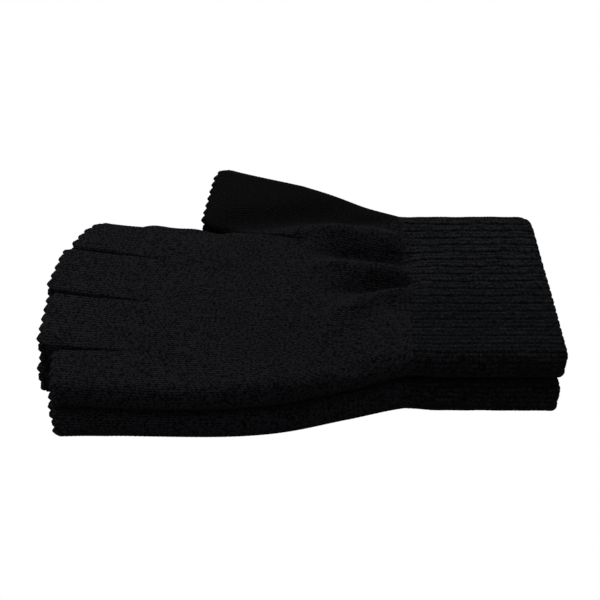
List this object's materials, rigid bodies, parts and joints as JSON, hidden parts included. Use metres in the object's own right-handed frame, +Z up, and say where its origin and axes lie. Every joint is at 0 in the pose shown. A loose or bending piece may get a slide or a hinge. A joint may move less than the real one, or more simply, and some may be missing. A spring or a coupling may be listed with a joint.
{
  "type": "pair of half-finger gloves",
  "caption": "Knitted half-finger gloves with ribbed doubled cuffs, lying flat as a stacked pair, with bare-fingertip openings that leave the fingertips free.",
  "frame": {"origin": "middle of the pair's outline, on the surface that it lies on", "axes": "+X towards the cuff mouths, fingers to -X, thumbs to +Y, +Z up through the stack"},
  "size_m": [0.1872, 0.1312, 0.0264],
  "materials": {
    "plain_knit": "fine plain knit in soft black yarn, slightly fuzzy",
    "rib_knit": "ribbed knit in black yarn",
    "bound_edge": "bound-off edge of black yarn loops",
    "seam_yarn": "linked course of black yarn",
    "cuff_elastic": "covered elastic thread"
  },
  "bodies": {
    "lower_hand_body": {"lower_hand": "plain_knit", "lower_wrist_seam": "seam_yarn", "lower_cuff": "rib_knit", "lower_cuff_lining": "rib_knit", "lower_cuff_elastic": "cuff_elastic"},
    "upper_hand_body": {"upper_hand": "plain_knit"},
    "upper_cuff_body": {"upper_wrist_seam": "seam_yarn", "upper_cuff": "rib_knit", "upper_cuff_lining": "rib_knit", "upper_cuff_elastic": "cuff_elastic"},
    "upper_little_body": {"upper_little_tube": "plain_knit", "upper_little_edge": "bound_edge"},
    "upper_ring_body": {"upper_ring_tube": "plain_knit", "upper_ring_edge": "bound_edge"},
    "upper_middle_body": {"upper_middle_tube": "plain_knit", "upper_middle_edge": "bound_edge"},
    "upper_index_body": {"upper_index_tube": "plain_knit", "upper_index_edge": "bound_edge"},
    "upper_thumb_body": {"upper_thumb_tube": "plain_knit", "upper_thumb_edge": "bound_edge"},
    "lower_index_body": {"lower_index_tube": "plain_knit", "lower_index_edge": "bound_edge"},
    "lower_middle_body": {"lower_middle_tube": "plain_knit", "lower_middle_edge": "bound_edge"},
    "lower_ring_body": {"lower_ring_tube": "plain_knit", "lower_ring_edge": "bound_edge"},
    "lower_little_body": {"lower_little_tube": "plain_knit", "lower_little_edge": "bound_edge"},
    "lower_thumb_body": {"lower_thumb_tube": "plain_knit", "lower_thumb_edge": "bound_edge"}
  },
  "joints": [
    {"name": "upper_glove_lift", "type": "slide", "parent": "lower_hand_body", "child": "upper_hand_body", "axis": [0, 0, 1], "range_m": [0, 0.12]},
    {"name": "upper_cuff_bend", "type": "hinge", "parent": "upper_hand_body", "child": "upper_cuff_body", "pos_m": [0.03914, -0.00995, 0.02635], "axis": [0, -1, 0], "range_deg": [0, 45]},
    {"name": "upper_little_bend", "type": "hinge", "parent": "upper_hand_body", "child": "upper_little_body", "pos_m": [-0.06202, -0.05216, 0.02275], "axis": [0.134, 0.991, 0], "range_deg": [0, 60]},
    {"name": "upper_ring_bend", "type": "hinge", "parent": "upper_hand_body", "child": "upper_ring_body", "pos_m": [-0.05894, -0.02942, 0.02275], "axis": [0.134, 0.991, 0], "range_deg": [0, 60]},
    {"name": "upper_middle_bend", "type": "hinge", "parent": "upper_hand_body", "child": "upper_middle_body", "pos_m": [-0.05569, -0.00531, 0.02275], "axis": [0.134, 0.991, 0], "range_deg": [0, 60]},
    {"name": "upper_index_bend", "type": "hinge", "parent": "upper_hand_body", "child": "upper_index_body", "pos_m": [-0.05261, 0.01744, 0.02275], "axis": [0.134, 0.991, 0], "range_deg": [0, 60]},
    {"name": "upper_thumb_bend", "type": "hinge", "parent": "upper_hand_body", "child": "upper_thumb_body", "pos_m": [0.00132, 0.03492, 0.02335], "axis": [0.0355, 0.9994, 0], "range_deg": [0, 60]},
    {"name": "lower_index_spread", "type": "hinge", "parent": "lower_hand_body", "child": "lower_index_body", "pos_m": [-0.05186, 0.02563, 0.0056], "axis": [0, 0, -1], "range_deg": [0, 12]},
    {"name": "lower_middle_spread", "type": "hinge", "parent": "lower_hand_body", "child": "lower_middle_body", "pos_m": [-0.05503, 0.00337, 0.0056], "axis": [0, 0, -1], "range_deg": [0, 4]},
    {"name": "lower_ring_spread", "type": "hinge", "parent": "lower_hand_body", "child": "lower_ring_body", "pos_m": [-0.06183, -0.04446, 0.0056], "axis": [0, 0, 1], "range_deg": [0, 4]},
    {"name": "lower_little_spread", "type": "hinge", "parent": "lower_hand_body", "child": "lower_little_body", "pos_m": [-0.06474, -0.0649, 0.0056], "axis": [0, 0, 1], "range_deg": [0, 12]},
    {"name": "lower_thumb_spread", "type": "hinge", "parent": "lower_hand_body", "child": "lower_thumb_body", "pos_m": [0.00137, 0.04924, 0.00575], "axis": [0, 0, -1], "range_deg": [0, 20]}
  ],
  "couplings": [
    {"joint": "lower_middle_spread", "follows": "lower_index_spread", "ratio": 0.33333},
    {"joint": "lower_ring_spread", "follows": "lower_index_spread", "ratio": 0.33333},
    {"joint": "lower_little_spread", "follows": "lower_index_spread", "ratio": 1}
  ]
}
